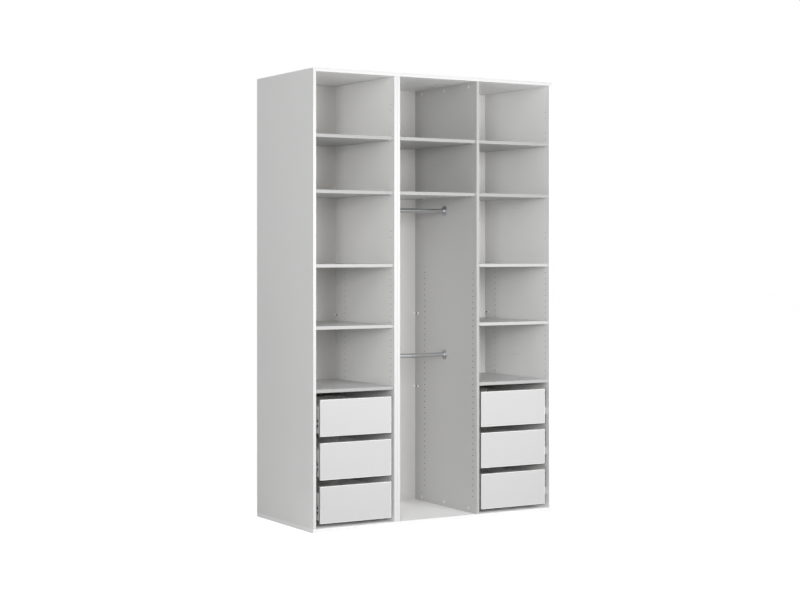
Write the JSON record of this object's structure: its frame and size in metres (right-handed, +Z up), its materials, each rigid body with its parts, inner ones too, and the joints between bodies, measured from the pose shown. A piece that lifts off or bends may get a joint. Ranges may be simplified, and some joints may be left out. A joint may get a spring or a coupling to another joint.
{
  "type": "open-front wardrobe",
  "caption": "White open-front wardrobe of two joined carcasses, with adjustable shelves on pins, hanging rails and drawers on full-extension ball slides.",
  "frame": {"origin": "on the floor, at the middle of the footprint", "axes": "+X to the right, +Y to the back, +Z up; the open front faces -Y"},
  "size_m": [1.5, 0.66, 2.388],
  "materials": {
    "carcass_board": "white melamine-faced chipboard, satin",
    "back_board": "white foil-faced fibreboard, satin",
    "drawer_board": "light grey melamine-faced board, satin",
    "zinc_plated_steel": "bright zinc plating",
    "chromed_steel": "chrome-plated steel tube and die-cast brackets",
    "white_plastic": "moulded white plastic",
    "beech_wood": "fluted beech, raw"
  },
  "bodies": {
    "carcass": {"left_unit_left_side": "carcass_board", "left_unit_right_side": "carcass_board", "left_unit_top": "carcass_board", "left_unit_bottom": "carcass_board", "left_unit_back": "back_board", "wide_unit_left_side": "carcass_board", "wide_unit_divider": "carcass_board", "wide_unit_right_side": "carcass_board", "wide_unit_top": "carcass_board", "wide_unit_bottom": "carcass_board", "wide_unit_back_left": "back_board", "wide_unit_back_right": "back_board", "left_shelf_1": "carcass_board", "left_shelf_2": "carcass_board", "left_shelf_3": "carcass_board", "left_shelf_4": "carcass_board", "left_shelf_5": "carcass_board", "hanging_shelf_1": "carcass_board", "hanging_shelf_2": "carcass_board", "right_shelf_1": "carcass_board", "right_shelf_2": "carcass_board", "right_shelf_3": "carcass_board", "right_shelf_4": "carcass_board", "right_shelf_5": "carcass_board", "left_cabinet_slides": "zinc_plated_steel", "right_cabinet_slides": "zinc_plated_steel", "slide_battens": "carcass_board", "upper_hanging_rail": "chromed_steel", "lower_hanging_rail": "chromed_steel", "rail_brackets": "chromed_steel", "shelf_pins": "zinc_plated_steel", "cam_fittings": "zinc_plated_steel", "cam_caps": "white_plastic", "wooden_dowels": "beech_wood", "back_clips": "white_plastic", "unit_joining_bolts": "zinc_plated_steel"},
    "left_drawer_1": {"left_drawer_1_front": "drawer_board", "left_drawer_1_box": "drawer_board", "left_drawer_1_box_slides": "zinc_plated_steel"},
    "left_drawer_1_middles": {"left_drawer_1_middle_slides": "zinc_plated_steel"},
    "left_drawer_2": {"left_drawer_2_front": "drawer_board", "left_drawer_2_box": "drawer_board", "left_drawer_2_box_slides": "zinc_plated_steel"},
    "left_drawer_2_middles": {"left_drawer_2_middle_slides": "zinc_plated_steel"},
    "left_drawer_3": {"left_drawer_3_front": "drawer_board", "left_drawer_3_box": "drawer_board", "left_drawer_3_box_slides": "zinc_plated_steel"},
    "left_drawer_3_middles": {"left_drawer_3_middle_slides": "zinc_plated_steel"},
    "right_drawer_1": {"right_drawer_1_front": "drawer_board", "right_drawer_1_box": "drawer_board", "right_drawer_1_box_slides": "zinc_plated_steel"},
    "right_drawer_1_middles": {"right_drawer_1_middle_slides": "zinc_plated_steel"},
    "right_drawer_2": {"right_drawer_2_front": "drawer_board", "right_drawer_2_box": "drawer_board", "right_drawer_2_box_slides": "zinc_plated_steel"},
    "right_drawer_2_middles": {"right_drawer_2_middle_slides": "zinc_plated_steel"},
    "right_drawer_3": {"right_drawer_3_front": "drawer_board", "right_drawer_3_box": "drawer_board", "right_drawer_3_box_slides": "zinc_plated_steel"},
    "right_drawer_3_middles": {"right_drawer_3_middle_slides": "zinc_plated_steel"}
  },
  "joints": [
    {"name": "left_drawer_1_slide", "type": "slide", "parent": "carcass", "child": "left_drawer_1", "axis": [0, -1, 0], "range_m": [0, 0.53]},
    {"name": "left_drawer_1_middle_slide", "type": "slide", "parent": "carcass", "child": "left_drawer_1_middles", "axis": [0, -1, 0], "range_m": [0, 0.265]},
    {"name": "left_drawer_2_slide", "type": "slide", "parent": "carcass", "child": "left_drawer_2", "axis": [0, -1, 0], "range_m": [0, 0.53]},
    {"name": "left_drawer_2_middle_slide", "type": "slide", "parent": "carcass", "child": "left_drawer_2_middles", "axis": [0, -1, 0], "range_m": [0, 0.265]},
    {"name": "left_drawer_3_slide", "type": "slide", "parent": "carcass", "child": "left_drawer_3", "axis": [0, -1, 0], "range_m": [0, 0.53]},
    {"name": "left_drawer_3_middle_slide", "type": "slide", "parent": "carcass", "child": "left_drawer_3_middles", "axis": [0, -1, 0], "range_m": [0, 0.265]},
    {"name": "right_drawer_1_slide", "type": "slide", "parent": "carcass", "child": "right_drawer_1", "axis": [0, -1, 0], "range_m": [0, 0.53]},
    {"name": "right_drawer_1_middle_slide", "type": "slide", "parent": "carcass", "child": "right_drawer_1_middles", "axis": [0, -1, 0], "range_m": [0, 0.265]},
    {"name": "right_drawer_2_slide", "type": "slide", "parent": "carcass", "child": "right_drawer_2", "axis": [0, -1, 0], "range_m": [0, 0.53]},
    {"name": "right_drawer_2_middle_slide", "type": "slide", "parent": "carcass", "child": "right_drawer_2_middles", "axis": [0, -1, 0], "range_m": [0, 0.265]},
    {"name": "right_drawer_3_slide", "type": "slide", "parent": "carcass", "child": "right_drawer_3", "axis": [0, -1, 0], "range_m": [0, 0.53]},
    {"name": "right_drawer_3_middle_slide", "type": "slide", "parent": "carcass", "child": "right_drawer_3_middles", "axis": [0, -1, 0], "range_m": [0, 0.265]}
  ],
  "couplings": [
    {"joint": "left_drawer_1_middle_slide", "follows": "left_drawer_1_slide", "ratio": 0.5},
    {"joint": "left_drawer_2_middle_slide", "follows": "left_drawer_2_slide", "ratio": 0.5},
    {"joint": "left_drawer_3_middle_slide", "follows": "left_drawer_3_slide", "ratio": 0.5},
    {"joint": "right_drawer_1_middle_slide", "follows": "right_drawer_1_slide", "ratio": 0.5},
    {"joint": "right_drawer_2_middle_slide", "follows": "right_drawer_2_slide", "ratio": 0.5},
    {"joint": "right_drawer_3_middle_slide", "follows": "right_drawer_3_slide", "ratio": 0.5}
  ]
}
